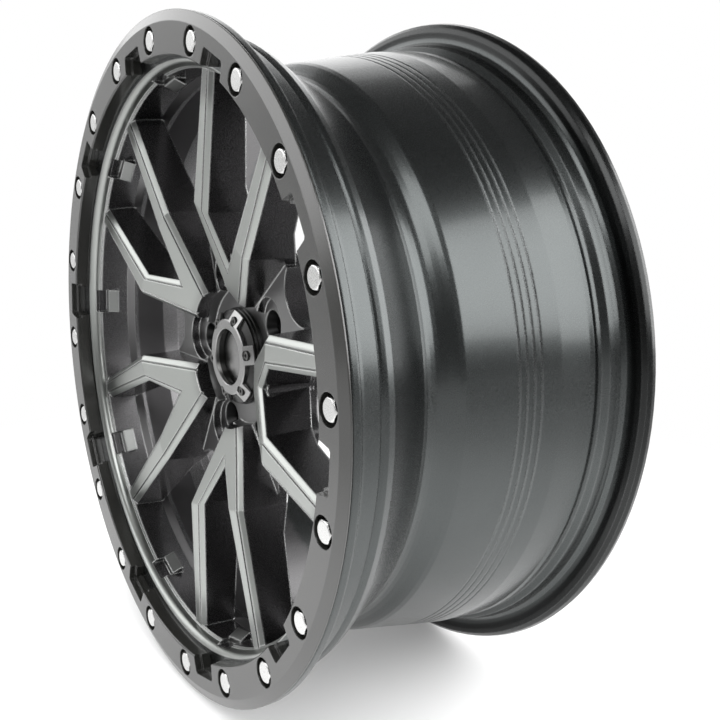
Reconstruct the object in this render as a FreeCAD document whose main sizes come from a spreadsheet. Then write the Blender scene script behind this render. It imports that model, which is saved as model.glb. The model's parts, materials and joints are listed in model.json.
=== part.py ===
import FreeCAD, Part
import math
import os
import re
import Sketcher

doc = FreeCAD.newDocument("alloy_wheel")

# Driving dimensions in millimetres and degrees
SIZES = [
    ("overall_width", "231", "front face of the lip ring to the rear flange"),
    ("face_depth", "80.5", "lip ring front face to hub mounting face"),
    ("clocking", "166.89", "turn of the first spoke away from straight up"),
    ("flange_height", "17.5", "tyre flanges above the bead seat"),
    ("seat_radius", "231", "tyre bead seat"),
    ("well_drop", "26", "drop centre below the bead seat"),
    ("rim_wall", "6.5", "barrel wall behind the spokes"),
    ("jwidth_inset", "13.9", "flange thickness outside the bead seat width"),
    ("lip_drop", "4", "front flange inside the radius of the rear flange"),
    ("lip_back", "11.2", "back of the front flange behind the ring face"),
    ("lip_round", "2.2", "rounding of the front flange"),
    ("rear_round", "7", "rounding of the rear flange"),
    ("seat_round", "6", "fillet between each bead seat and its flange"),
    ("wall_inset", "23.6", "inside of the front rim wall below the bead seat"),
    ("band_rise", "5", "front edge of the bright cone band above the inner wall"),
    ("band_foot", "1.6", "rear edge of that band above the inner wall"),
    ("band_rear", "19.3", "depth of the rear edge of the band"),
    ("spoke_count", "5", "number of spokes"),
    ("root_reach", "52.7", "distance out to the face root"),
    ("root_half", "9.1", "half width of the face at the root"),
    ("crotch_reach", "71.2", "distance out to where the face divides"),
    ("kink_reach", "108", "distance out to the bend in each arm"),
    ("kink_outer", "40.4", "outer face edge at the bend"),
    ("kink_inner", "28.6", "inner face edge at the bend"),
    ("tip_inset", "1.4", "end of each arm inside the inner wall"),
    ("tip_outer", "55", "outer face edge at the tip"),
    ("tip_inner", "48.2", "inner face edge at the tip"),
    ("stem_start", "42", "inner end of the spoke stem"),
    ("stem_end", "71", "outer end of the spoke stem"),
    ("arm_start", "67", "inner end of each arm"),
    ("root_depth", "43.1", "depth of the face at the root"),
    ("kink_depth", "22", "depth of the face at the bend"),
    ("tip_depth", "20.2", "depth of the face at the tip"),
    ("stem_rise", "1.5", "spoke back at the hub in front of the mounting face"),
    ("kink_back", "59.4", "depth of the spoke back at the bend"),
    ("haunch_reach", "128", "distance out to the bend in the spoke back"),
    ("haunch_back", "52.6", "depth of the spoke back at that bend"),
    ("tip_back", "46", "depth of the spoke back at the rim"),
    ("groove_width", "1.3", "groove beside the face"),
    ("groove_drop", "1.8", "depth of that groove"),
    ("shoulder_width", "4", "bevelled shoulder outside the groove"),
    ("shoulder_drop", "2.8", "fall of the shoulder"),
    ("shoulder_set", "0.3", "step of the shoulder below the face"),
    ("wall_draft", "1.6", "widening of each side wall to the back"),
    ("crotch_round", "5", "rounding of the fork between the arms"),
    ("web_rise", "6.6", "front of the web between spokes above the well floor"),
    ("web_reach", "95", "window side of the web"),
    ("window_round", "25", "round end of the outer windows"),
    ("fork_reach", "83", "inner end of the windows inside each fork"),
    ("fork_window", "27", "round end of those windows in the hub plate"),
    ("plate_radius", "110", "outside of the hub plate"),
    ("plate_rise", "13.5", "back of the hub plate edge in front of the mounting face"),
    ("pad_thick", "19.5", "mounting pad under the hub well"),
    ("pad_radius", "76", "outside of the mounting face"),
    ("pad_pocket", "9", "radius of the pockets in the mounting face"),
    ("well_round", "53.5", "wall of the hub well"),
    ("lug_count", "5", "number of lug holes"),
    ("lug_circle", "57.15", "radius of the lug hole circle"),
    ("lug_hole", "7.5", "radius of each lug hole"),
    ("lug_seat", "10.5", "radius of the cone seat mouth"),
    ("lug_pocket", "18.5", "radius of the pocket round each lug hole"),
    ("lug_pocket_reach", "63.1", "centre of that pocket"),
    ("hub_bore", "36.55", "radius of the hub register"),
    ("hub_bore_deep", "10", "length of the hub register"),
    ("cap_bore", "33", "radius of the cap bore"),
    ("cap_undercut", "4.5", "undercut the cap legs hook into"),
    ("valve_hole", "5.65", "radius of the valve hole"),
    ("valve_depth", "60", "depth of the valve hole at the outside"),
    ("valve_wall", "5", "wall left under the spot face"),
    ("valve_spot", "10", "radius of the spot face round the valve hole"),
    ("block_count", "10", "blocks and slots round the inner wall"),
    ("block_width", "20", "width of each block"),
    ("ring_step", "3", "inside of the lip ring beyond the band"),
    ("ring_inset", "3.9", "outside of the lip ring inside the flange"),
    ("ring_thick", "11.8", "lip ring thickness"),
    ("ring_edge", "4", "lip ring thickness at its outer edge"),
    ("spigot_inset", "8.6", "step on the back of the lip ring"),
    ("bevel_width", "7.4", "bevel round the lip ring face"),
    ("notch_count", "10", "notches round the inside of the ring"),
    ("notch_deep", "12.2", "depth of each notch into the ring"),
    ("notch_half", "15.6", "half width of a notch at its mouth"),
    ("notch_floor_half", "14.3", "half width of a notch at its bottom"),
    ("notch_ledge", "2.2", "ledge inside each notch"),
    ("notch_ledge_depth", "5", "depth of that ledge"),
    ("bolt_count", "20", "number of ring bolts"),
    ("bolt_inset", "4.3", "ring bolt circle below the bead seat"),
    ("bolt_flats", "14.2", "hexagon across flats"),
    ("bolt_sink", "9.8", "radius of the bolt counterbores"),
    ("bolt_seat", "7.6", "depth of the bolt counterbores"),
    ("bolt_head", "7.4", "height of the bolt heads"),
    ("bolt_shank", "3", "radius of the bolt shanks"),
    ("bolt_reach", "18", "depth of the bolt ends"),
    ("base_radius", "36.7", "outside of the cap base"),
    ("cap_height", "10.6", "cap base shoulder above the well floor"),
    ("badge_rise", "4", "badge seat above the well floor"),
    ("leg_outer", "32.7", "outside of the cap legs"),
    ("leg_inner", "30.5", "inside of the cap legs"),
    ("leg_hook", "4", "cap legs beyond their undercut"),
    ("leg_count", "6", "number of cap legs"),
    ("trim_inner", "20.9", "inside of the trim ring"),
    ("trim_ring", "28.6", "outside of the trim ring between its lugs"),
    ("trim_outer", "36.2", "outer end of the trim ring lugs"),
    ("trim_fold", "27.4", "where each lug folds back"),
    ("trim_thick", "3", "trim ring thickness"),
    ("lug_tab_half", "7", "half width of each trim ring lug"),
    ("screw_count", "6", "number of cap screws"),
    ("screw_circle", "29.7", "radius of the cap screw circle"),
    ("screw_head", "3.5", "radius of the cap screw heads"),
    ("screw_shank", "2", "radius of the cap screw shanks"),
    ("screw_turn", "31.6", "turn of the first cap screw from the first spoke"),
    ("screw_seat", "2.8", "depth of the cap screw counterbores"),
    ("screw_rise", "1.8", "height of the cap screw heads"),
    ("screw_length", "9.6", "cap screw ends behind the trim ring front"),
    ("badge_radius", "20.6", "radius of the bare badge"),
    ("badge_thick", "2.4", "thickness of the badge"),
    ("wire_round", "1", "radius of the retaining wire"),
]

sheet = doc.addObject("Spreadsheet::Sheet", "dims")
for row, (alias, number, note) in enumerate(SIZES, 1):
    sheet.set("A%d" % row, alias)
    sheet.set("B%d" % row, number)
    sheet.set("C%d" % row, note)
    sheet.setAlias("B%d" % row, alias)
doc.recompute()

ALIASES = {alias for alias, number, note in SIZES}

# Sizes that follow from the driving ones
DERIVED = {
    "flange_radius": "seat_radius + flange_height",
    "well_radius": "seat_radius - well_drop",
    "inner_wall": "seat_radius - wall_inset",
    "band_outer": "inner_wall + band_rise",
    "band_inner": "inner_wall + band_foot",
    "tip_reach": "inner_wall - tip_inset",
    "ring_inner": "band_outer + ring_step",
    "lip_radius": "flange_radius - lip_drop",
    "ring_outer": "flange_radius - ring_inset",
    "spigot_radius": "ring_outer - spigot_inset",
    "face_edge": "ring_outer - bevel_width",
    "notch_outer": "ring_inner + notch_deep",
    "bolt_circle": "seat_radius - bolt_inset",
    "stem_back": "face_depth - stem_rise",
    "plate_back": "face_depth - plate_rise",
    "pad_depth": "face_depth - pad_thick",
    "web_depth": "pad_depth - web_rise",
    "cap_step": "face_depth - hub_bore_deep - cap_undercut",
    "leg_end": "cap_step + leg_hook",
    "base_front": "pad_depth - cap_height",
    "base_floor": "pad_depth - badge_rise",
    "trim_front": "base_front - trim_thick",
    "screw_reach": "trim_front + screw_length",
}


def bound(formula):
    """Write a formula with derived sizes spelled out and driving ones looked up."""
    def look_up(word):
        if word[0] in DERIVED:
            return "(" + bound(DERIVED[word[0]]) + ")"
        return "dims." + word[0] if word[0] in ALIASES else word[0]
    return re.sub(r"[a-z_]+", look_up, formula)


def depth(formula):
    """Axial place of a depth measured back from the lip ring front face."""
    return "(%s) - face_depth" % formula


def size(alias):
    """Current number of one named size."""
    return float(getattr(sheet, alias))


def new_body(label):
    """Start a piece whose first spoke direction is turned by the clocking."""
    body = doc.addObject("PartDesign::Body", label)
    body.Label = label
    body.AllowCompound = True
    turn = FreeCAD.Rotation(FreeCAD.Vector(0, 1, 0), size("clocking"))
    body.Placement = FreeCAD.Placement(FreeCAD.Vector(0, 0, 0), turn)
    body.setExpression("Placement.Rotation.Angle", bound("clocking"))
    return body


def origin(body, role):
    """Origin plane or axis of a body."""
    return [item for item in body.Origin.OriginFeatures if item.Role == role][0]


def attach(feature, body, plane, places):
    """Lay a sketch or primitive on an origin plane, shifted by formulas."""
    feature.AttachmentSupport = [(origin(body, plane), "")]
    feature.MapMode = "FlatFace"
    for letter, formula in places.items():
        feature.setExpression("AttachmentOffset.Base." + letter, bound(formula))


def outline(body, name, plane, corners, lift="0"):
    """Closed sketch of straight edges whose corners follow the sheet."""
    sketch = body.newObject("Sketcher::SketchObject", name)
    attach(sketch, body, plane, {"z": lift})
    count = len(corners)
    start = []
    for number in range(count):
        angle = 2 * math.pi * number / count
        start.append(FreeCAD.Vector(100 * math.cos(angle), 100 * math.sin(angle), 0))
    edges = [Part.LineSegment(start[i], start[(i + 1) % count]) for i in range(count)]
    sketch.addGeometry(edges, False)
    rules = [Sketcher.Constraint("Coincident", i, 2, (i + 1) % count, 1) for i in range(count)]
    for i in range(count):
        rules.append(Sketcher.Constraint("DistanceX", -1, 1, i, 1, start[i].x))
        rules.append(Sketcher.Constraint("DistanceY", -1, 1, i, 1, start[i].y))
    sketch.addConstraint(rules)
    for i, (across, along) in enumerate(corners):
        sketch.setExpression("Constraints[%d]" % (count + 2 * i), bound(across))
        sketch.setExpression("Constraints[%d]" % (count + 2 * i + 1), bound(along))
    return sketch


def section(body, name, corners):
    """Half section of a turned piece, given as radius and depth."""
    return outline(body, name, "XY_Plane", [(radius, depth(back)) for radius, back in corners])


def finish_feature(body, feature):
    """Make a feature the tip of its body and work it out."""
    body.Tip = feature
    doc.recompute()
    return feature


def turned(body, kind, name, corners):
    """Turn a half section right round the wheel axis."""
    sketch = section(body, name + "_section", corners)
    feature = body.newObject(kind, name)
    feature.Profile = sketch
    feature.ReferenceAxis = (sketch, ["V_Axis"])
    feature.Angle = 360
    return finish_feature(body, feature)


def prism(body, kind, name, plane, corners, length, lift="0", midplane=False):
    """Pad or pocket of a straight edged sketch."""
    sketch = outline(body, name + "_sketch", plane, corners, lift)
    feature = body.newObject(kind, name)
    feature.Profile = sketch
    feature.setExpression("Length", bound(length))
    if midplane:
        feature.SideType = "Symmetric"
    return finish_feature(body, feature)


def round_feature(body, kind, name, place, radius, length, lift, taper=None, backward=False):
    """Pad forward or pocket back from a circle on a plane across the axis."""
    sketch = body.newObject("Sketcher::SketchObject", name + "_sketch")
    attach(sketch, body, "XZ_Plane", {"z": lift})
    sketch.addGeometry(Part.Circle(FreeCAD.Vector(1, 1, 0), FreeCAD.Vector(0, 0, 1), 1), False)
    sketch.addConstraint([Sketcher.Constraint("DistanceX", -1, 1, 0, 3, 1.0),
                          Sketcher.Constraint("DistanceY", -1, 1, 0, 3, 1.0),
                          Sketcher.Constraint("Radius", 0, 1.0)])
    for number, formula in enumerate((place[0], place[1], radius)):
        sketch.setExpression("Constraints[%d]" % number, bound(formula))
    feature = body.newObject(kind, name)
    feature.Profile = sketch
    feature.setExpression("Length", bound(length))
    feature.Reversed = backward
    if taper:
        feature.setExpression("TaperAngle", taper)
    return finish_feature(body, feature)


def around(body, name, originals, number):
    """Repeat features round the wheel axis."""
    feature = body.newObject("PartDesign::PolarPattern", name)
    feature.Originals = originals
    feature.Axis = (origin(body, "Y_Axis"), [""])
    feature.Angle = 360
    feature.setExpression("Occurrences", bound(number))
    return finish_feature(body, feature)


def circle_place(radius, angle):
    """Across and up formulas of a point on a circle, angle from straight up."""
    return "(%s) * sin(%s)" % (radius, angle), "(%s) * cos(%s)" % (radius, angle)


# Spoke sections across one arm
OUTER_RATE = "((kink_outer - root_half) / (kink_reach - root_reach))"
INNER_RATE = "(kink_inner / (kink_reach - crotch_reach))"
FACE_RATE = "((root_depth - kink_depth) / (kink_reach - root_reach))"
LEAN_ROOT = "(1 / cos(atan(%s)))" % OUTER_RATE
LEAN_CROTCH = "(1 / cos(atan(%s)))" % INNER_RATE
LEAN_TIP = "(1 / cos(atan((tip_outer - kink_outer) / (tip_reach - kink_reach))))"


def face_outer(reach):
    """Outer face edge of the inner leg at a distance out."""
    return "(root_half + (%s - root_reach) * %s)" % (reach, OUTER_RATE)


def face_inner(reach):
    """Inner face edge of the inner leg at a distance out."""
    return "((%s - crotch_reach) * %s)" % (reach, INNER_RATE)


def face_level(reach):
    """Depth of the sloping face at a distance out."""
    return "(root_depth - (%s - root_reach) * %s)" % (reach, FACE_RATE)


def arm_section(body, name, side, inner, outer, level, back, leans, reach):
    """Cross section with its face, two grooves, two shoulders and drafted walls."""
    groove = "(%s + groove_drop)" % level
    crest = "(%s + shoulder_set)" % level
    foot = "(%s + shoulder_set + shoulder_drop)" % level
    inside = [inner]
    outside = [outer]
    for part in ("groove_width", "(groove_width + shoulder_width)",
                 "(groove_width + shoulder_width + wall_draft)"):
        inside.append("(%s - %s * %s)" % (inner, part, leans[0]))
        outside.append("(%s + %s * %s)" % (outer, part, leans[1]))
    points = [(outside[0], level), (outside[0], groove), (outside[1], groove), (outside[1], crest),
              (outside[2], foot), (outside[3], back), (inside[3], back), (inside[2], foot),
              (inside[1], crest), (inside[1], groove), (inside[0], groove), (inside[0], level)]
    corners = [("%s * (%s)" % (side, across), depth(axial)) for across, axial in points]
    return outline(body, name, "XY_Plane", corners, reach)


def joined(body, name, sections):
    """Straight sided loft through a row of sections."""
    feature = body.newObject("PartDesign::AdditiveLoft", name)
    feature.Profile = sections[0]
    feature.Sections = [(item, [""]) for item in sections[1:]]
    feature.Ruled = True
    return finish_feature(body, feature)


# One piece casting: hub plate, spokes and rim
wheel = new_body("wheel")
turned(wheel, "PartDesign::Revolution", "hub_plate", [
    ("cap_bore", "pad_depth"),
    ("well_round - 2", "pad_depth"),
    ("well_round", "web_depth"),
    ("plate_radius", "web_depth"),
    ("plate_radius", "plate_back"),
    ("pad_radius", "face_depth"),
    ("hub_bore + 1.5", "face_depth"),
    ("hub_bore", "face_depth - 1.5"),
    ("hub_bore", "face_depth - hub_bore_deep"),
    ("cap_bore + 2.2", "face_depth - hub_bore_deep"),
    ("cap_bore + 2.2", "cap_step"),
    ("cap_bore", "cap_step"),
])

# Round window ends, lug pockets, lug holes and their cone seats
mid = "180 / spoke_count"
cuts = [
    round_feature(wheel, "PartDesign::Pocket", "window_end", circle_place("web_reach + window_round", mid),
                  "window_round", "face_depth - 39", "face_depth - 40"),
    round_feature(wheel, "PartDesign::Pocket", "fork_end", ("0", "fork_reach + fork_window"),
                  "fork_window", "face_depth - 39", "face_depth - 40"),
    round_feature(wheel, "PartDesign::Pocket", "lug_pocket", circle_place("lug_pocket_reach", mid),
                  "lug_pocket", "pad_depth - 40", "face_depth - 40"),
    round_feature(wheel, "PartDesign::Pocket", "lug_hole", circle_place("lug_circle", mid),
                  "lug_hole", "face_depth - pad_depth + 2", "face_depth - pad_depth + 1"),
    round_feature(wheel, "PartDesign::Pocket", "lug_seat", circle_place("lug_circle", mid),
                  "lug_seat + 2 * tan(30)", "2 + (lug_seat - lug_hole) / tan(30)",
                  "face_depth - pad_depth", taper="-30"),
]
around(wheel, "hub_cuts", cuts, "lug_count")

# Spoke stem and its two arms
stem = joined(wheel, "stem", [
    arm_section(wheel, "stem_in", "1", "(-%s)" % face_outer("stem_start"), face_outer("stem_start"),
                face_level("stem_start"), "stem_back", (LEAN_ROOT, LEAN_ROOT), "stem_start"),
    arm_section(wheel, "stem_out", "1", "(-%s)" % face_outer("stem_end"), face_outer("stem_end"),
                face_level("stem_end"), "stem_back", (LEAN_ROOT, LEAN_ROOT), "stem_end"),
])
HAUNCH = "((haunch_reach - kink_reach) / (tip_reach - kink_reach))"
haunch_inner = "(kink_inner + (tip_inner - kink_inner) * %s)" % HAUNCH
haunch_outer = "(kink_outer + (tip_outer - kink_outer) * %s)" % HAUNCH
haunch_depth = "(kink_depth + (tip_depth - kink_depth) * %s)" % HAUNCH
arms = []
for name, side in (("right_arm", "1"), ("left_arm", "-1")):
    arms.append(joined(wheel, name, [
        arm_section(wheel, name + "_in", side, face_inner("arm_start"), face_outer("arm_start"),
                    face_level("arm_start"), "stem_back", (LEAN_CROTCH, LEAN_ROOT), "arm_start"),
        arm_section(wheel, name + "_bend", side, "kink_inner", "kink_outer", "kink_depth", "kink_back",
                    (LEAN_TIP, LEAN_TIP), "kink_reach"),
        arm_section(wheel, name + "_haunch", side, haunch_inner, haunch_outer, haunch_depth, "haunch_back",
                    (LEAN_TIP, LEAN_TIP), "haunch_reach"),
        arm_section(wheel, name + "_tip", side, "tip_inner", "tip_outer", "tip_depth", "tip_back",
                    (LEAN_TIP, LEAN_TIP), "tip_reach"),
    ]))
fork = "(crotch_reach + (groove_width + shoulder_width) * %s / %s)" % (LEAN_CROTCH, INNER_RATE)
fork_centre = "(%s + crotch_round / sin(atan(%s)))" % (fork, INNER_RATE)
fork_edge = [("-9", "crotch_reach + 6"), ("9", "crotch_reach + 6")]
for share in (1, 0.5, 0, -0.5, -1):
    turn = "(%g * (90 deg - atan(%s)))" % (share, INNER_RATE)
    fork_edge.append(("crotch_round * sin(%s)" % turn, "%s - crotch_round * cos(%s)" % (fork_centre, turn)))
fork_fill = prism(wheel, "PartDesign::Pad", "fork_fill", "XZ_Plane", fork_edge,
                  "36", "face_depth - 74")
around(wheel, "spokes", [stem] + arms + [fork_fill], "spoke_count")

# Rim with its flanges, bead seats, humps and drop centre
def arc_corners(radius, back, size_name, angles):
    """Corners on an arc about a radius and a depth, angles from straight forward."""
    return [("%s + %s * sin(%g)" % (radius, size_name, angle), "%s - %s * cos(%g)" % (back, size_name, angle))
            for angle in angles]


lip_arc = arc_corners("lip_radius - lip_round", "lip_back - lip_round", "lip_round",
                      (90, 120, 150, 180))
front_fillet = arc_corners("seat_radius + seat_round", "jwidth_inset + 0.7 + seat_round", "seat_round",
                           (0, -30, -60, -90))
rear_fillet = arc_corners("seat_radius + seat_round", "overall_width - jwidth_inset - 0.1 - seat_round",
                          "seat_round", (-90, -120, -150, -180))
rear_arc = arc_corners("flange_radius - rear_round", "overall_width - rear_round", "rear_round",
                       (0, 30, 60, 90, 120, 150, 180))
LEG_RATE = "((seat_radius - 15.5 - well_radius) / (overall_width - 164))"


def leg_level(back):
    """Radius of the barrel leg behind the drop centre at a depth."""
    return "(well_radius + 9.5 + (%s - 103) * %s)" % (back, LEG_RATE)


rim_front = [
    ("band_outer", "ring_thick"),
    ("spigot_radius + 0.2", "ring_thick"),
    ("spigot_radius + 0.2", "ring_edge + 0.3"),
    ("lip_radius - 1", "ring_edge + 0.3"),
    ("lip_radius", "ring_edge + 1.3"),
] + lip_arc + front_fillet + [
    ("seat_radius - 1", "31"),
    ("seat_radius - 2.4", "32.3"),
    ("seat_radius - 1.2", "34"),
    ("seat_radius - 0.6", "36.7"),
    ("seat_radius - 2.6", "42"),
    ("well_radius + 3.1", "74.6"),
    ("well_radius + 1.3", "78.2"),
    ("well_radius + 0.3", "81.5"),
    ("well_radius", "84.5"),
    ("well_radius + 0.2", "87.5"),
    ("well_radius + 1.2", "90.5"),
    ("well_radius + 3.4", "93.8"),
    ("well_radius + 6.2", "97"),
    ("well_radius + 8.2", "99.6"),
    ("well_radius + 9.5", "103"),
]
fine_grooves = []
for number in range(4):
    start = "(overall_width - %g)" % (92 - 5.3 * number)
    fine_grooves.append((leg_level(start), start))
    fine_grooves.append((leg_level(start) + " - 0.9", start + " + 0.7"))
    fine_grooves.append((leg_level(start + " + 1.4"), start + " + 1.4"))
rim_rear = [
    ("seat_radius - 6", "overall_width - 61"),
    ("seat_radius - 5", "overall_width - 38"),
    ("seat_radius - 4.2", "overall_width - 35"),
    ("seat_radius - 5.6", "overall_width - 31"),
    ("seat_radius - 5.2", "overall_width - 28"),
    ("seat_radius - 0.9", "overall_width - 25"),
] + rear_fillet + rear_arc + [
    ("seat_radius + 5", "overall_width - 0.6"),
    ("seat_radius - 2", "overall_width - 4.5"),
    ("seat_radius - 7", "overall_width - 8"),
    ("seat_radius - 12", "overall_width - 18"),
    ("well_radius + 9.4 - rim_wall", "102"),
    ("well_radius - rim_wall", "90"),
    ("well_radius - rim_wall", "76"),
    ("inner_wall - 4", "54"),
    ("inner_wall - 4", "50.5"),
    ("inner_wall", "45"),
    ("inner_wall", "band_rear + 2"),
    ("inner_wall + 1", "band_rear + 1.4"),
    ("inner_wall + 1", "band_rear + 0.5"),
    ("band_inner", "band_rear"),
]
turned(wheel, "PartDesign::Revolution", "rim", rim_front + fine_grooves + rim_rear)

# Hub well trims the spoke roots to an arc
turned(wheel, "PartDesign::Groove", "hub_well", [
    ("0", "20"),
    ("well_round", "20"),
    ("well_round", "web_depth"),
    ("well_round - 2", "pad_depth"),
    ("0", "pad_depth"),
])

# Slots and blocks round the inner wall
slot = prism(wheel, "PartDesign::Pocket", "slot", "YZ_Plane", [
    (depth("ring_thick - 1"), "inner_wall - 6"),
    (depth("27"), "inner_wall - 6"),
    (depth("27"), "inner_wall + 3"),
    (depth("ring_thick + 5.2"), "inner_wall + 3"),
    (depth("ring_thick + 5.2"), "inner_wall + 1"),
    (depth("ring_thick - 1"), "inner_wall + 1"),
], "block_width", midplane=True)
block = prism(wheel, "PartDesign::Pad", "block", "YZ_Plane", [
    (depth("27"), "inner_wall + 3.5"),
    (depth("27"), "inner_wall - 1.4"),
    (depth("35"), "inner_wall - 5.6"),
    (depth("36"), "inner_wall - 5.2"),
    (depth("36.4"), "inner_wall + 1"),
], "block_width", midplane=True)
around(wheel, "slots_and_blocks", [slot, block], "block_count")

# Threaded holes for the ring bolts
bolt_place = circle_place("bolt_circle", "180 / bolt_count")
bolt_hole = round_feature(wheel, "PartDesign::Pocket", "bolt_hole", bolt_place, "bolt_shank + 0.1",
                          "bolt_reach - ring_thick + 2", "face_depth - ring_thick + 1")
around(wheel, "bolt_holes", [bolt_hole], "bolt_count")

# Lightening pockets in the mounting face
pad_pocket = round_feature(wheel, "PartDesign::Pocket", "pad_pocket", ("0", "lug_circle"), "pad_pocket",
                           "13", "-1", backward=True)
around(wheel, "pad_pockets", [pad_pocket], "spoke_count")

# Valve hole square to the front slope of the drop centre
SLOPE = "((seat_radius - 3.6 - well_radius) / 36)"
VALVE_RADIUS = "(seat_radius - 2.6 - (valve_depth - 42) * %s)" % SLOPE
for name, shift in (("valve_hole", "12"), ("valve_spot", "(-valve_wall)")):
    sketch = wheel.newObject("Sketcher::SketchObject", name + "_sketch")
    tilt = FreeCAD.Rotation(FreeCAD.Vector(1, 0, 0), -30)
    sketch.AttachmentOffset = FreeCAD.Placement(FreeCAD.Vector(0, 0, 0), tilt)
    attach(sketch, wheel, "XY_Plane", {
        "y": "valve_depth - face_depth + %s * sin(atan(%s))" % (shift, SLOPE),
        "z": "%s + %s * cos(atan(%s))" % (VALVE_RADIUS, shift, SLOPE)})
    sketch.setExpression("AttachmentOffset.Rotation.Angle", bound("-atan(%s)" % SLOPE))
    sketch.addGeometry(Part.Circle(FreeCAD.Vector(0, 0, 0), FreeCAD.Vector(0, 0, 1), 5), False)
    sketch.addConstraint([Sketcher.Constraint("Coincident", 0, 3, -1, 1),
                          Sketcher.Constraint("Radius", 0, 5.0)])
    sketch.setExpression("Constraints[1]", bound(name))
    hole = wheel.newObject("PartDesign::Pocket", name)
    hole.Profile = sketch
    hole.Length = 45
    finish_feature(wheel, hole)

# Lip ring
lip_ring = new_body("lip_ring")
turned(lip_ring, "PartDesign::Revolution", "ring", [
    ("ring_inner + 0.8", "0"),
    ("face_edge", "0"),
    ("ring_outer", "2.9"),
    ("ring_outer", "ring_edge"),
    ("spigot_radius", "ring_edge"),
    ("spigot_radius", "ring_thick"),
    ("ring_inner", "ring_thick"),
    ("ring_inner", "0.8"),
])
notch = prism(lip_ring, "PartDesign::Pocket", "notch", "XZ_Plane", [
    ("-notch_half", "ring_inner - 10"),
    ("notch_half", "ring_inner - 10"),
    ("notch_half", "ring_inner + 2"),
    ("notch_floor_half", "notch_outer - 1.5"),
    ("notch_floor_half - 1.5", "notch_outer"),
    ("1.5 - notch_floor_half", "notch_outer"),
    ("-notch_floor_half", "notch_outer - 1.5"),
    ("-notch_half", "ring_inner + 2"),
], "notch_ledge_depth + 1", "face_depth + 1")
notch_back = prism(lip_ring, "PartDesign::Pocket", "notch_back", "XZ_Plane", [
    ("notch_ledge - notch_half", "ring_inner - 10"),
    ("notch_half - notch_ledge", "ring_inner - 10"),
    ("notch_half - notch_ledge", "ring_inner + 2"),
    ("notch_floor_half - notch_ledge", "notch_outer - notch_ledge"),
    ("notch_ledge - notch_floor_half", "notch_outer - notch_ledge"),
    ("notch_ledge - notch_half", "ring_inner + 2"),
], "ring_thick + 2", "face_depth + 1")
around(lip_ring, "notches", [notch, notch_back], "notch_count")
sink = round_feature(lip_ring, "PartDesign::Pocket", "sink", bolt_place, "bolt_sink", "bolt_seat + 1",
                     "face_depth + 1")
pass_hole = round_feature(lip_ring, "PartDesign::Pocket", "pass_hole", bolt_place, "bolt_shank + 0.3",
                          "ring_thick + 2", "face_depth + 1")
around(lip_ring, "bolt_seats", [sink, pass_hole], "bolt_count")

# Ring bolts
bolts = new_body("lip_ring_bolts")
hexagon = []
for number in range(6):
    corner = circle_place("bolt_flats / 2 / cos(30)", "(180 / bolt_count + %d)" % (60 * number))
    hexagon.append((bolt_place[0] + " + " + corner[0], bolt_place[1] + " + " + corner[1]))
head = prism(bolts, "PartDesign::Pad", "head", "XZ_Plane", hexagon, "bolt_head", "face_depth - bolt_seat")
shank = round_feature(bolts, "PartDesign::Pad", "shank", bolt_place, "bolt_shank",
                      "bolt_reach - bolt_seat + 1", "face_depth - bolt_reach")
around(bolts, "all_bolts", [head, shank], "bolt_count")

# Cap base with its snap legs
screw_place = circle_place("screw_circle", "screw_turn")
cap_base = new_body("cap_base")
turned(cap_base, "PartDesign::Revolution", "cup", [
    ("0", "base_floor"),
    ("trim_inner", "base_floor"),
    ("trim_inner", "trim_front + trim_thick"),
    ("trim_fold", "trim_front + trim_thick"),
    ("base_radius - 1.4", "base_front + 3"),
    ("base_radius - 1.4", "base_front + 5"),
    ("base_radius - 0.7", "base_front + 5.6"),
    ("base_radius - 0.7", "base_front + 7.6"),
    ("base_radius", "base_front + 8.2"),
    ("base_radius", "pad_depth"),
    ("leg_outer", "pad_depth"),
    ("leg_outer", "cap_step + 0.2"),
    ("leg_outer + 1.1", "cap_step + 0.6"),
    ("leg_outer - 1", "leg_end"),
    ("leg_inner", "leg_end"),
    ("leg_inner", "pad_depth + 5"),
    ("leg_inner + 0.6", "pad_depth + 4.2"),
    ("leg_inner + 0.6", "pad_depth + 2.4"),
    ("leg_inner", "pad_depth + 1.6"),
    ("leg_inner", "base_floor + 3"),
    ("0", "base_floor + 3"),
])
leg_gap = prism(cap_base, "PartDesign::Pocket", "leg_gap", "XZ_Plane", [
    ("-4", "leg_inner - 4"),
    ("4", "leg_inner - 4"),
    ("4", "leg_outer + 6"),
    ("-4", "leg_outer + 6"),
], "leg_end - pad_depth + 1", "face_depth - pad_depth")
around(cap_base, "leg_gaps", [leg_gap], "leg_count")
base_hole = round_feature(cap_base, "PartDesign::Pocket", "base_hole", screw_place, "screw_shank + 0.1",
                          "screw_reach - trim_front", "face_depth - trim_front - 0.5")
around(cap_base, "base_holes", [base_hole], "screw_count")

# Cap trim ring with its folded lugs
cap_trim = new_body("cap_trim_ring")
turned(cap_trim, "PartDesign::Revolution", "trim", [
    ("trim_inner", "trim_front + 0.6"),
    ("trim_inner + 0.6", "trim_front"),
    ("trim_fold", "trim_front"),
    ("trim_outer", "trim_front + 4.6"),
    ("trim_outer - 0.4", "trim_front + 5.6"),
    ("trim_fold", "trim_front + trim_thick"),
    ("trim_inner", "trim_front + trim_thick"),
])
gap_corners = []
for radius, share in (("45", -1), ("trim_ring", -1), ("trim_ring", -0.5), ("trim_ring", 0),
                      ("trim_ring", 0.5), ("trim_ring", 1), ("45", 1)):
    half = "(180 deg / screw_count - asin(lug_tab_half / %s))" % radius
    turn = "(screw_turn + 180 / screw_count) * 1 deg + %g * %s" % (share, half)
    gap_corners.append(circle_place(radius, turn))
gap = prism(cap_trim, "PartDesign::Pocket", "gap", "XZ_Plane", gap_corners,
            "12", "face_depth - trim_front + 2")
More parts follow.
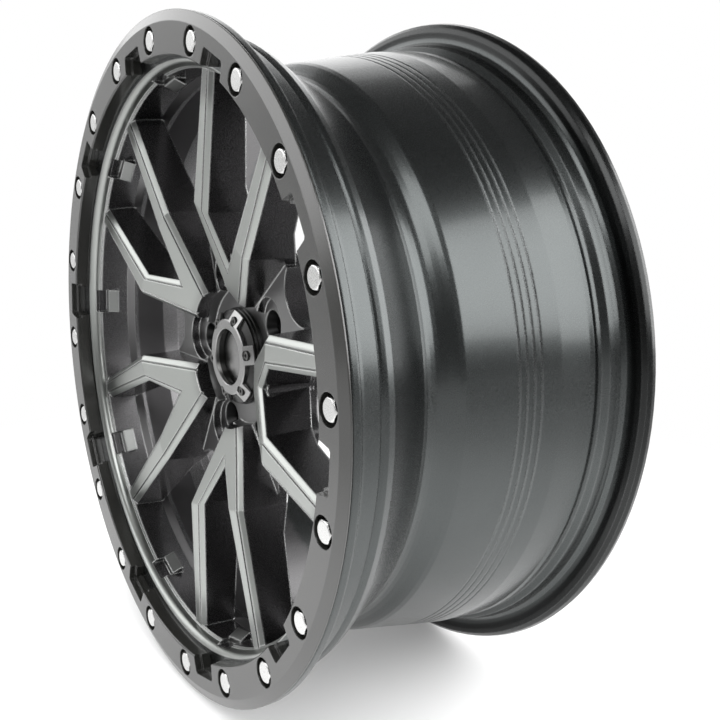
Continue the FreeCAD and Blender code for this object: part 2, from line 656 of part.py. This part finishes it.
seat = round_feature(cap_trim, "PartDesign::Pocket", "seat", screw_place, "screw_head + 0.3",
                     "screw_seat + 1", "face_depth - trim_front + 1")
trim_hole = round_feature(cap_trim, "PartDesign::Pocket", "trim_hole", screw_place, "screw_shank + 0.2",
                          "12", "face_depth - trim_front + 2")
around(cap_trim, "lugs", [gap, seat, trim_hole], "screw_count")

# Cap screws with hexagon sockets
screws = new_body("cap_screws")
screw_head = round_feature(screws, "PartDesign::Pad", "screw_head", screw_place, "screw_head", "screw_rise",
                           "face_depth - trim_front - screw_seat")
screw_shank = round_feature(screws, "PartDesign::Pad", "screw_shank", screw_place, "screw_shank",
                            "screw_reach - trim_front - screw_seat + 0.5", "face_depth - screw_reach")
socket_corners = []
for number in range(6):
    corner = circle_place("screw_head * 0.42", "screw_turn + %d" % (60 * number))
    socket_corners.append((screw_place[0] + " + " + corner[0], screw_place[1] + " + " + corner[1]))
socket = prism(screws, "PartDesign::Pocket", "socket", "XZ_Plane", socket_corners, "1.2",
               "face_depth - trim_front - screw_seat + screw_rise")
around(screws, "all_screws", [screw_head, screw_shank, socket], "screw_count")

# Bare badge in the middle of the cap
badge = new_body("cap_badge")
turned(badge, "PartDesign::Revolution", "disc", [
    ("0", "base_floor - badge_thick - 0.5"),
    ("badge_radius - 4", "base_floor - badge_thick - 0.25"),
    ("badge_radius - 0.6", "base_floor - badge_thick + 0.2"),
    ("badge_radius", "base_floor - badge_thick + 0.8"),
    ("badge_radius", "base_floor"),
    ("0", "base_floor"),
])

# Spring wire that spreads the cap legs
wire = new_body("cap_retaining_ring")
wire_sketch = wire.newObject("Sketcher::SketchObject", "wire_sketch")
attach(wire_sketch, wire, "XY_Plane", {"z": "0"})
wire_sketch.addGeometry(Part.Circle(FreeCAD.Vector(30, 1, 0), FreeCAD.Vector(0, 0, 1), 1), False)
wire_sketch.addConstraint([Sketcher.Constraint("DistanceX", -1, 1, 0, 3, 30.0),
                           Sketcher.Constraint("DistanceY", -1, 1, 0, 3, 1.0),
                           Sketcher.Constraint("Radius", 0, 1.0)])
for number, formula in enumerate(("leg_inner + 0.55 - wire_round", depth("pad_depth + 3.3"), "wire_round")):
    wire_sketch.setExpression("Constraints[%d]" % number, bound(formula))
wire_turn = wire.newObject("PartDesign::Revolution", "wire_turn")
wire_turn.Profile = wire_sketch
wire_turn.ReferenceAxis = (wire_sketch, ["V_Axis"])
wire_turn.Angle = 335
finish_feature(wire, wire_turn)

# Build every shape and write the files
NODES = [wheel, lip_ring, bolts, cap_base, cap_trim, screws, badge, wire]
doc.recompute()
for item in doc.Objects:
    if "Invalid" in item.State or "Error" in item.State:
        raise RuntimeError("%s did not build: %s" % (item.Label, item.State))
os.makedirs("parts", exist_ok=True)
for node in NODES:
    if node.Shape.isNull() or not node.Shape.isValid():
        raise RuntimeError("%s has no valid shape" % node.Label)
    node.Shape.exportStep("parts/%s.step" % node.Label)
    print(node.Label, len(node.Shape.Solids), round(node.Shape.Volume), node.Shape.BoundBox)
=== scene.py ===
# %% [markdown]
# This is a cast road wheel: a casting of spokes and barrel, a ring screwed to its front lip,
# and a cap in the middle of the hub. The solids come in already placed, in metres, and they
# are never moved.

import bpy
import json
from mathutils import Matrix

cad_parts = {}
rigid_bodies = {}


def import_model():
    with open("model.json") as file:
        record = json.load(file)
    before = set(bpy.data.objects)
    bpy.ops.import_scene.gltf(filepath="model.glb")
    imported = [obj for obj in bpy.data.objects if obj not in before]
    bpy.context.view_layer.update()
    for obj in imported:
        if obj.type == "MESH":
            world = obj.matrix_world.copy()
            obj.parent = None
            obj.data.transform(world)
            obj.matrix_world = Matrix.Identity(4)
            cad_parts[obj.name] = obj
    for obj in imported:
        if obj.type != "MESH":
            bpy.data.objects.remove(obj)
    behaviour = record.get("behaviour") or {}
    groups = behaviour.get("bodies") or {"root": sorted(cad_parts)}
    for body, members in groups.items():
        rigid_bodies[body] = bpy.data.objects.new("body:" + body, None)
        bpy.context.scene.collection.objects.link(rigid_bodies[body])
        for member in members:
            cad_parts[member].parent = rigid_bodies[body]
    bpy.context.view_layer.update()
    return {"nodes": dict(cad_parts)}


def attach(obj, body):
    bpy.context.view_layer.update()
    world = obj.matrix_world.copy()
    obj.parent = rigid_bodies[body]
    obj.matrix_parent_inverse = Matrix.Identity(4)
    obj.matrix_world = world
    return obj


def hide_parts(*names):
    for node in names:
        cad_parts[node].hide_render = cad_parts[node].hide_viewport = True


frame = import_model()

import json

import bmesh
import bpy
import numpy as np
from mathutils import Quaternion, Vector

scene = bpy.context.scene
scene.view_settings.view_transform = "Standard"
print("solids:", sorted(frame["nodes"]))


# %% [markdown]
# A finish is written as arithmetic. Node trees could be wired link by link, but that is hard
# to read. So a small class wraps a socket: `1 - mask` adds its Math node by itself, and every
# other kind of node comes from the one method `node`.

# %% Shader arithmetic
class Wire:
    """A socket that joins in Python arithmetic by adding Math nodes."""

    def __init__(self, tree, socket):
        self.tree = tree
        self.socket = socket

    def node(self, kind, settings=None, values=None, out=0):
        """Add a node: its settings first, then the values or links of its sockets."""
        made = self.tree.nodes.new(kind)
        for key, value in (settings or {}).items():
            setattr(made, key, value)
        for key, value in (values or {}).items():
            if isinstance(value, Wire):
                self.tree.links.new(value.socket, made.inputs[key])
            else:
                made.inputs[key].default_value = value
        return Wire(self.tree, made.outputs[out])

    def math(self, operation, other):
        """A Math node on this value and another."""
        return self.node("ShaderNodeMath", {"operation": operation}, {0: self, 1: other})

    def vector(self, operation, *others, out="Vector"):
        """A Vector Math node on this vector and others. A length or a product is a "Value"."""
        return self.node("ShaderNodeVectorMath", {"operation": operation},
                         dict(enumerate((self, *others))), out)

    def __add__(self, other):
        return self.math("ADD", other)

    __radd__ = __add__

    def __mul__(self, other):
        return self.math("MULTIPLY", other)

    __rmul__ = __mul__

    def __sub__(self, other):
        return self.math("SUBTRACT", other)

    def __rsub__(self, other):
        return self.math("MULTIPLY", -1.0) + other

    def step(self, low, high):
        """Smooth rise from 0 to 1 between two values."""
        return self.node("ShaderNodeMapRange", {"interpolation_type": "SMOOTHSTEP"},
                         {"Value": self, "From Min": low, "From Max": high})

    def either(self, other):
        """The larger of two masks."""
        return self.math("MAXIMUM", other)


print("sockets now take + - and *, with numbers on either side")


# %% [markdown]
# Every finish on the wheel needs the same few things: a material, noise for its flake or
# orange peel, a colour between two colours, and edges that are not razor sharp. Rounding each
# edge of the mesh would take many faces, so a Bevel node rounds the normals alone.

# %% Tools for a finish
FINE_RELIEF = 0.0001


def new_paint(name):
    """A material with its Principled shader and its Object coordinates."""
    material = bpy.data.materials.new(name)
    material.use_nodes = True
    tree = material.node_tree
    place = Wire(tree, tree.nodes.new("ShaderNodeTexCoord").outputs["Object"])
    return material, tree.nodes["Principled BSDF"], place


def feed(shader, socket, value):
    """Set a constant on a shader's socket, or link a pattern to it."""
    if isinstance(value, Wire):
        shader.id_data.links.new(value.socket, shader.inputs[socket])
    else:
        shader.inputs[socket].default_value = value


def grain(place, size, detail=2.0):
    """Grey noise whose lumps are about this many metres across."""
    return place.node("ShaderNodeTexNoise", None,
                      {"Vector": place, "Scale": 1.0 / size, "Detail": detail})


def mix_colour(place, factor, first, second):
    """Colour between two colours by a mask. A Mix node keeps its colours in sockets 6 and 7."""
    return place.node("ShaderNodeMix", {"data_type": "RGBA"},
                      {"Factor": factor, 6: first, 7: second}, out=2)


def tinted(tone, tint=(1, 1, 1)):
    """A colour of this tone, with red, green and blue each times their share in the tint."""
    return tuple(tone * share for share in tint) + (1,)


def soft_edges(place, radius):
    """Normal of a surface whose edges and corners are rounded by this radius."""
    return place.node("ShaderNodeBevel", {"samples": 4}, {"Radius": radius})


def relief(normal, height, strength, distance=FINE_RELIEF):
    """A normal with a relief laid on it, this many metres high."""
    return normal.node("ShaderNodeBump", None, {"Strength": strength, "Distance": distance,
                                                "Height": height, "Normal": normal})


print("fine relief is", FINE_RELIEF, "m high")


# %% [markdown]
# The casting has two finishes. Its front is gunmetal paint with fine metal flake, and the
# barrel is sprayed satin black from outside, with a soft edge where the spray ends at the
# lip. Two slots could split the mesh by face, but the solids have one slot, so each finish is
# a mask, worked out from where a point lies: its radius from the axis, its depth along the
# axis and the way it faces. The lug holes lie round the axis, so their mask takes the nearest
# of the five.

# %% Where a point of the casting lies
LUG_COUNT, LUG_CIRCLE, FIRST_LUG = 5, 0.05715, 31.11


def wheel_place(place):
    """Place flattened along the axis, its length (the radius) and direction, and the depth."""
    flattened = place.vector("MULTIPLY", (1, 0, 1))
    radius = flattened.vector("LENGTH", out="Value")
    radial = flattened.vector("NORMALIZE")
    depth = place.node("ShaderNodeSeparateXYZ", None, {"Vector": place}, "Y")
    return flattened, radius, radial, depth


def lug_distance(flattened):
    """Distance from the nearest lug axis: the least of five lengths across the wheel."""
    nearest = None
    for turn in np.radians(FIRST_LUG + 360 / LUG_COUNT * np.arange(LUG_COUNT)):
        axis = (LUG_CIRCLE * np.cos(turn), 0, LUG_CIRCLE * np.sin(turn))
        gap = flattened.vector("DISTANCE", axis, out="Value")
        nearest = gap if nearest is None else nearest.math("MINIMUM", gap)
    return nearest


print(LUG_COUNT, "lug holes on a circle of", 2 * LUG_CIRCLE, "m")


# %% [markdown]
# Shade is painted into the colour of the casting. Walls that face sideways, the inside of the
# barrel, the sunk webs and the lug holes get a darker grey or near black as painted shade, and
# the front grows darker towards the rim, except for most of a narrow band inside the ring. Edges
# and fillets get a lighter grey as a painted highlight, and so do ridges on the barrel. The rolled
# rear flange is blacker than the barrel. A narrow band inside the ring has a rounded face, which
# a parabola across its width gives to the normals. Each mask is made of smooth steps, so that
# no finish ends in a hard line.

# %% Masks of the casting
# Where each step begins and is full. Radii and depths are in metres, with the front at low depth.
LIP_RADIUS = (0.2128, 0.2138)
BARREL_RADIUS = (0.2, 0.204)
BORE_RADIUS, BORE_DEPTH = (0.186, 0.192), (-0.032, -0.024)
# Painted shade grows between these radii, towards the rim.
RIM_RADIUS = (0.178, 0.196)
SUNK_DEPTH = (-0.041, -0.034)
# Painted highlights on edges show only in front of this depth, and on barrel ridges only behind the next.
EDGE_GLINT_DEPTH = (-0.02, -0.01)
RIDGE_DEPTH = (0.044, 0.05)
ROLLED_RADIUS, ROLLED_DEPTH = (0.233, 0.24), (0.12, 0.122)
LUG_RADIUS = (0.011, 0.012)
BAND_FRONT, BAND_REAR = -0.0687, -0.0612
BAND_RADIUS, BAND_END = (0.2082, 0.2086), (BAND_REAR, BAND_REAR + 0.0005)
# Parts of a normal: along the axis, where -1 faces the front, away from the axis, and its bend.
SIDEWAYS, OUTWARDS, EDGE_BEND = (-0.4, -0.1), (0.05, 0.2), (0.01, 0.16)
# How much of a full mask shows.
SUNK_SHARE, BAND_SHARE, EDGE_GLINT_SHARE, RIDGE_SHARE = 0.85, 0.75, 0.7, 0.4


def casting_masks(place, eased):
    """Masks by name, from smooth steps in radius, depth and facing: a product is both at once."""
    flattened, radius, radial, depth = wheel_place(place)
    normal = place.node("ShaderNodeNewGeometry", out="Normal")
    facing = place.node("ShaderNodeSeparateXYZ", None, {"Vector": normal}, "Y")
    outward = normal.vector("DOT_PRODUCT", radial, out="Value")
    edge = (1 - eased.vector("DOT_PRODUCT", normal, out="Value")).step(*EDGE_BEND)
    barrel = outward.step(*OUTWARDS) * radius.step(*BARREL_RADIUS)
    outside = radius.step(*LIP_RADIUS).either(barrel)
    band = (1 - depth.step(*BAND_END)) * radius.step(*BAND_RADIUS) * (1 - outside)
    across_band = (depth - BAND_FRONT) * (1 / (BAND_REAR - BAND_FRONT))
    return {
        "outside": outside,
        # Painted shade: walls facing sideways, the bore, the sunk webs, near the rim and the lug holes.
        "wall": facing.step(*SIDEWAYS),
        "bore": radius.step(*BORE_RADIUS) * depth.step(*BORE_DEPTH),
        "sunk": depth.step(*SUNK_DEPTH) * SUNK_SHARE,
        "rim": radius.step(*RIM_RADIUS) * (1 - band * BAND_SHARE),
        # Painted highlights: edges and fillets in front, and ridges on the barrel.
        "worn": edge * (1 - depth.step(*EDGE_GLINT_DEPTH)) * EDGE_GLINT_SHARE,
        "ridge": edge * depth.step(*RIDGE_DEPTH) * RIDGE_SHARE,
        "rolled": radius.step(*ROLLED_RADIUS) * depth.step(*ROLLED_DEPTH),
        "hole": 1 - lug_distance(flattened).step(*LUG_RADIUS),
        "crown": band * across_band * (1 - across_band),
    }


print("the black spray begins at a radius of", LIP_RADIUS[0], "m")


# %% [markdown]
# Now the paint itself. It could be a stack of shaders, one for each finish, but one metal
# shader with a mixed colour is easier to read. Flake moves colour, gloss and relief together,
# as it does in real metallic paint. Walls and barrel are a little glossier and carry a thin
# clear coat.

# %% Gunmetal casting with a black barrel
FLAKE_DARK, FLAKE_LIGHT = (0.355, 0.37, 0.355, 1), (0.435, 0.45, 0.433, 1)
# Greys of painted shade: near the rim, and on walls, bore and sunk webs.
RIM_SHADE_GREY, SIDE_SHADE_GREY = (0.2, 0.205, 0.2, 1), (0.155, 0.152, 0.155, 1)
# Light greys of painted highlights on edges in front and on barrel ridges.
EDGE_GLINT_GREY, RIDGE_GLINT_GREY = (0.62, 0.63, 0.62, 1), (0.32, 0.33, 0.33, 1)
SPRAY_DARK, SPRAY_LIGHT = (0.066, 0.0715, 0.0715, 1), (0.077, 0.083, 0.0825, 1)
# The near black in the lug holes is painted shade; the rolled flange's black is its own.
HOLE_SHADE_BLACK, ROLLED_BLACK = (0.02, 0.02, 0.02, 1), (0.03, 0.031, 0.031, 1)
FLAKE_SIZE, SPRAY_CLOUD, CAST_ROUND, CROWN_HEIGHT = 0.0005, 0.04, 0.0018, 0.006
CAST_ROUGH, FLAKE_ROUGH, GLOSSIER = 0.3, 0.06, 0.06
CLEAR_COAT, ROLLED_COAT_LOSS = 0.25, 0.5


def casting_colour(place, mask, flake):
    """Gunmetal with painted shade and painted edge highlights, and the black spray over all that is
    outside, with painted highlights on its ridges.
    """
    front = mix_colour(place, flake, FLAKE_DARK, FLAKE_LIGHT)
    rim = mix_colour(place, mask["rim"], front, RIM_SHADE_GREY)
    painted_shade = mask["wall"].either(mask["bore"]).either(mask["sunk"])
    sides = mix_colour(place, painted_shade, rim, SIDE_SHADE_GREY)
    worn = mix_colour(place, mask["worn"], sides, EDGE_GLINT_GREY)
    holes = mix_colour(place, mask["hole"], worn, HOLE_SHADE_BLACK)
    black = mix_colour(place, grain(place, SPRAY_CLOUD), SPRAY_DARK, SPRAY_LIGHT)
    flange = mix_colour(place, mask["rolled"], black, ROLLED_BLACK)
    # Painted highlights on the ridges of the black barrel.
    ridges = mix_colour(place, mask["ridge"], flange, RIDGE_GLINT_GREY)
    return mix_colour(place, mask["outside"], holes, ridges)


def casting_paint(name):
    """Metallic paint: flake roughens it, and walls and barrel are glossier under a coat."""
    material, shader, place = new_paint(name)
    eased = soft_edges(place, CAST_ROUND)
    mask = casting_masks(place, eased)
    flake = grain(place, FLAKE_SIZE)
    coated = mask["wall"].either(mask["outside"])
    crowned = relief(eased, mask["crown"], strength=1.0, distance=CROWN_HEIGHT)
    feed(shader, "Base Color", casting_colour(place, mask, flake))
    feed(shader, "Metallic", 1.0)
    feed(shader, "Roughness", flake * FLAKE_ROUGH + CAST_ROUGH - coated * GLOSSIER)
    feed(shader, "Coat Weight", coated * (1 - mask["rolled"] * ROLLED_COAT_LOSS) * CLEAR_COAT)
    feed(shader, "Coat Roughness", 0.12)
    feed(shader, "Normal", relief(crowned, flake, strength=0.06))
    return material


paints = {"wheel": casting_paint("gunmetal casting")}
print(paints["wheel"].name, "has", len(paints["wheel"].node_tree.nodes), "nodes")


# %% [markdown]
# The lip ring, the cap and its screws are black as well, but they are coated, not sprayed
# over metal: a satin coat whose gloss is a little uneven. A higher index of refraction gives
# the strong sheen that such a coat shows at a low angle.

# %% Satin black coat
PEEL_SIZE, COAT_CLOUD, PEEL_ROUGH = 0.0007, 0.05, 0.08
COAT_DARK, COAT_LIGHT = (1, 1, 0.9), (1.3, 1.3, 1.17)


def coat_paint(name, tone, rough, index, round_edge):
    """Dark coat with fine orange peel: the noise moves roughness and relief together."""
    material, shader, place = new_paint(name)
    peel = grain(place, PEEL_SIZE, detail=3.0)
    colour = mix_colour(place, grain(place, COAT_CLOUD), tinted(tone, COAT_DARK), tinted(tone, COAT_LIGHT))
    feed(shader, "Base Color", colour)
    feed(shader, "Roughness", peel * PEEL_ROUGH + (rough - PEEL_ROUGH / 2))
    feed(shader, "IOR", index)
    feed(shader, "Normal", relief(soft_edges(place, round_edge), peel, strength=0.05))
    return material


paints["lip_ring"] = coat_paint("satin black ring", tone=0.012, rough=0.22, index=1.9, round_edge=0.001)
paints["cap_base"] = coat_paint("black cap", tone=0.004, rough=0.22, index=1.42, round_edge=0.0006)
paints["cap_screws"] = coat_paint("black screws", tone=0.012, rough=0.3, index=1.7, round_edge=0.0003)
print("paints so far:", sorted(paints))


# %% [markdown]
# The bolts are plated bright, and the trim, the badge and the spring wire are bare or darker
# metal. Plating could be a plain mirror, but real plating is never even, so fine marks move
# its tone, its gloss and its relief. Then every solid gets its paint in its one slot.

# %% Plated metal
MARK_SIZE, MARK_ROUGH, PLATE_ROUND = 0.0008, 0.1, 0.0004
MARK_TINT = (0.9, 0.9, 0.88)


def bright_paint(name, tone, rough):
    """Plated metal: the noise moves tone, roughness and relief together."""
    material, shader, place = new_paint(name)
    marks = grain(place, MARK_SIZE, detail=3.0)
    feed(shader, "Base Color", mix_colour(place, marks, tinted(tone), tinted(tone, MARK_TINT)))
    feed(shader, "Metallic", 1.0)
    feed(shader, "Roughness", marks * MARK_ROUGH + rough)
    feed(shader, "Normal", relief(soft_edges(place, PLATE_ROUND), marks, strength=0.08))
    return material


paints["lip_ring_bolts"] = bright_paint("plated bolts", tone=0.72, rough=0.22)
paints["cap_trim_ring"] = bright_paint("grey trim", tone=0.34, rough=0.24)
paints["cap_badge"] = bright_paint("plain badge", tone=0.28, rough=0.2)
paints["cap_retaining_ring"] = bright_paint("spring wire", tone=0.5, rough=0.3)
for name, node in frame["nodes"].items():
    node.data.materials.clear()
    node.data.materials.append(paints[name])
    print(name, len(node.data.polygons), "faces get", paints[name].name)


# %% [markdown]
# A new piece is a surface over a grid of points. Numpy works the points out as whole arrays,
# and each cell of the grid becomes a face. A row whose points all fall together is a pole,
# which is merged to one point, so that the mesh is closed.

# %% From a grid to a mesh
MERGE_DISTANCE = 1e-6


def grid_mesh(name, points, loop_columns=True):
    """A mesh of quads from grids of points, count x rows x columns x 3."""
    count, rows, columns, _ = points.shape
    number = np.arange(count * rows * columns).reshape(count, rows, columns)
    right = np.roll(number, -1, axis=2) if loop_columns else number[:, :, 1:]
    here = number if loop_columns else number[:, :, :-1]
    faces = np.stack([here[:, :-1], right[:, :-1], right[:, 1:], here[:, 1:]], axis=-1)
    mesh = bpy.data.meshes.new(name)
    mesh.from_pydata(points.reshape(-1, 3).tolist(), [], faces.reshape(-1, 4).tolist())
    return mesh


def close_up(mesh):
    """Merge the points that fall together at the poles and turn all faces outwards."""
    shape = bmesh.new()
    shape.from_mesh(mesh)
    bmesh.ops.remove_doubles(shape, verts=shape.verts, dist=MERGE_DISTANCE)
    bmesh.ops.recalc_face_normals(shape, faces=shape.faces)
    shape.to_mesh(mesh)
    shape.free()


def add_object(name, data):
    """An object in the scene for a mesh, a lamp or a camera."""
    made = bpy.data.objects.new(name, data)
    scene.collection.objects.link(made)
    return made


print("objects in the scene:", len(scene.collection.all_objects))


# %% [markdown]
# The ring bolts have plain six-sided heads that almost fill their sinks, chamfered all round
# at the top. A cylinder with six sides would miss the curved edges that the chamfer leaves on
# the flats. So the head is a grid of turn and height: at each height the radius is the
# smaller of the hexagon and a circle that closes in towards the top. The first and last rows
# are single points. No two bolts stop at the same turn, so each is turned on from the last.

# %% Ring bolt heads
BOLT_COUNT, BOLT_CIRCLE, FIRST_BOLT, BOLT_TURN = 20, 0.2267, 76.11, 0.37
RING_FACE, SINK_DEPTH = -0.0805, 0.0076
BOLT_FLATS, HEAD_COLUMNS, MILLIMETRE = 0.0134, 72, 0.001


def hexagon(turn, flats):
    """Radius of a hexagon at each turn: half its flats over the cosine inside one sixth."""
    inside = (turn + np.pi / 6) % (np.pi / 3) - np.pi / 6
    return 0.5 * flats / np.cos(inside)


# Each row is the radius of the circle and the height over the seat, in millimetres.
head_rows = MILLIMETRE * np.array([
    [0, 0], [7.7, 0], [7.8, 0.2], [7.8, 5.5], [7.6, 6.0], [7.3, 6.45],
    [6.95, 6.85], [6.6, 7.12], [6.2, 7.32], [5.8, 7.4], [0, 7.4]])
circle, height = head_rows[:, :1], head_rows[:, 1:]
turn = np.linspace(0, 2 * np.pi, HEAD_COLUMNS, endpoint=False)
reach = np.minimum(hexagon(turn, BOLT_FLATS), circle)
bolt = np.arange(BOLT_COUNT)[:, None, None]
bolt_angle = np.radians(FIRST_BOLT - 360 / BOLT_COUNT * bolt)
spin = turn + bolt_angle + BOLT_TURN * bolt
head_y = np.broadcast_to(RING_FACE + SINK_DEPTH - height, (BOLT_COUNT,) + reach.shape)
bolt_mesh = grid_mesh("ring_bolt_heads", np.stack([
    BOLT_CIRCLE * np.cos(bolt_angle) + reach * np.cos(spin), head_y,
    BOLT_CIRCLE * np.sin(bolt_angle) + reach * np.sin(spin)], axis=-1))
close_up(bolt_mesh)
bolt_mesh.materials.append(paints["lip_ring_bolts"])
bolt_heads = add_object("ring_bolt_heads", bolt_mesh)
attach(bolt_heads, "root")
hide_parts("lip_ring_bolts")
print("ring_bolt_heads", len(bolt_mesh.polygons), "faces")


# %% [markdown]
# Glossy paint shows what stands round it. In an all-white room the black barrel would look
# grey, so a dark tent hangs over the camera's side, and two grey flags close to the floor
# hold back the white that would shine up from the right and the left. Flat cards could do
# this too, but a patch of a sphere covers an exact range of directions. All of them show only
# in reflections.

# %% Tent and flags
TENT_COLUMNS, TENT_ROWS = 40, 16
CLOTH_CLOUD, CLOTH_LIGHT = 0.3, 1.3


def on_sphere(azimuth, elevation, distance):
    """Point at a compass angle from +X and a height angle, both in degrees."""
    a, e = np.radians(azimuth), np.radians(elevation)
    return distance * np.stack([np.cos(e) * np.cos(a), np.cos(e) * np.sin(a), np.sin(e)], axis=-1)


def tent_patch(name, azimuths, elevations, distance=3.0, tone=0.1):
    """Part of a sphere round the wheel between two compass angles and two height angles."""
    a, e = np.meshgrid(np.linspace(*azimuths, TENT_COLUMNS), np.linspace(*elevations, TENT_ROWS))
    mesh = grid_mesh(name, on_sphere(a, e, distance)[None], loop_columns=False)
    cloth, shader, place = new_paint(name)
    cloud = grain(place, CLOTH_CLOUD)
    feed(shader, "Base Color", mix_colour(place, cloud, tinted(tone), tinted(tone * CLOTH_LIGHT)))
    feed(shader, "Roughness", 0.9)
    mesh.materials.append(cloth)
    tent = add_object(name, mesh)
    tent.visible_camera = False
    tent.visible_diffuse = False
    tent.visible_shadow = False
    print(name, len(mesh.polygons), "faces")


tent_patch("tent_roof", azimuths=(0, 360), elevations=(48, 89.9))
tent_patch("tent_side", azimuths=(-105, 122), elevations=(-6, 48))
tent_patch("right_flag", azimuths=(5, 80), elevations=(-12.5, -2), distance=1.12, tone=0.3)
tent_patch("left_flag", azimuths=(-158, -128), elevations=(-10, 10), distance=1.4, tone=0.35)


# %% [markdown]
# The wheel stands on a white floor in a white room. More light on the floor would burn out
# the wheel, so the floor glows by itself, only in what the camera and mirrors see. Close to
# the wheel the glow fades, and there the floor keeps the wheel's soft shadow.

# %% White floor and room
FLOOR_LEVEL, FLOOR_REACH = -0.2485, 8.0
GLOW_FROM, NEAR_GLOW = (0.34, 0.85), 0.2

corners = FLOOR_REACH * np.array([[-1, -1], [1, -1], [1, 1], [-1, 1]])
floor_mesh = bpy.data.meshes.new("floor")
floor_mesh.from_pydata(np.c_[corners, np.full(4, FLOOR_LEVEL)].tolist(), [], [[0, 1, 2, 3]])
floor = add_object("floor", floor_mesh)
floor_paint, floor_shader, spot = new_paint("white floor")
feed(floor_shader, "Base Color", (0.95, 0.95, 0.95, 1))
feed(floor_shader, "Roughness", 0.6)
in_mirror = spot.node("ShaderNodeLightPath", out="Is Glossy Ray").either(
    spot.node("ShaderNodeLightPath", out="Is Transmission Ray"))
seen = spot.node("ShaderNodeLightPath", out="Is Camera Ray").either(in_mirror)
far = spot.vector("LENGTH", out="Value").step(*GLOW_FROM)
glow = spot.node("ShaderNodeEmission", None, {"Color": (1, 1, 1, 1), "Strength": 1.0})
shade = Wire(floor_paint.node_tree, floor_shader.outputs[0])
both = spot.node("ShaderNodeMixShader", None, {
    0: seen * (far * (1 - NEAR_GLOW) + NEAR_GLOW), 1: shade, 2: glow})
feed(floor_paint.node_tree.nodes["Material Output"], "Surface", both)
floor_mesh.materials.append(floor_paint)

room = bpy.data.worlds.new("white room")
scene.world = room
room.use_nodes = True
room.node_tree.nodes["Background"].inputs[0].default_value = (1, 1, 1, 1)
print("floor at", FLOOR_LEVEL, "m")


# %% [markdown]
# The light comes from large soft windows. The right one makes the long highlights on the
# barrel, the left and front ones light the spokes and the ring, and the back one lights the
# rear. Small lamps would leave hard spots on the paint, so each is a wide area lamp, given by
# its brightness instead of its power, and a roll leans its highlight. The fill from above
# only lights: it doesn't show in reflections.

# %% Lamps
def softbox(name, azimuth, elevation, distance, size, radiance, roll=0.0, mirrored=True):
    """Area lamp aimed at the wheel: power = radiance times pi times its area."""
    lamp = bpy.data.lights.new(name, "AREA")
    lamp.shape = "RECTANGLE"
    lamp.size, lamp.size_y = size
    lamp.energy = radiance * np.pi * size[0] * size[1]
    holder = add_object(name, lamp)
    holder.location = on_sphere(azimuth, elevation, distance)
    aim = (-holder.location).to_track_quat("-Z", "Y")
    holder.rotation_euler = (aim @ Quaternion((0, 0, 1), np.radians(roll))).to_euler()
    holder.visible_camera = False
    holder.visible_glossy = mirrored
    print(name, round(lamp.energy, 1), "W")


softbox("right window", azimuth=52, elevation=21, distance=1.7, size=(2.9, 1.28), radiance=4.2, roll=-18.0)
softbox("left window", azimuth=-140, elevation=26, distance=2.2, size=(3.2, 0.92), radiance=1.6, roll=-10.0)
softbox("back window", azimuth=150, elevation=24, distance=2.6, size=(1.6, 1.3), radiance=0.8)
softbox("front window", azimuth=-42, elevation=46, distance=2.2, size=(1.6, 1.0), radiance=4.0)
softbox("top fill", azimuth=-60, elevation=80, distance=2.4, size=(2.0, 2.0), radiance=2.3, mirrored=False)


# %% [markdown]
# The camera stands where the photograph was taken from. It could be set by eye, but its place
# was worked out from the ellipses of the two flanges and the ring bolts. The small shift
# frames the wheel as the photograph does.

# %% Camera
CAMERA_PLACE, CAMERA_FORWARD = (0.6727, -0.3477, 0.1525), (-0.8403, 0.5081, -0.1891)

lens = bpy.data.cameras.new("camera")
lens.lens = 50.5
lens.sensor_width = 36
lens.shift_x = 0.0378
lens.shift_y = -0.0229
camera = add_object("camera", lens)
camera.location = CAMERA_PLACE
camera.rotation_euler = Vector(CAMERA_FORWARD).to_track_quat("-Z", "Y").to_euler()
scene.camera = camera
print("camera", round(camera.location.length, 3), "m from the hub face, lens", lens.lens, "mm")
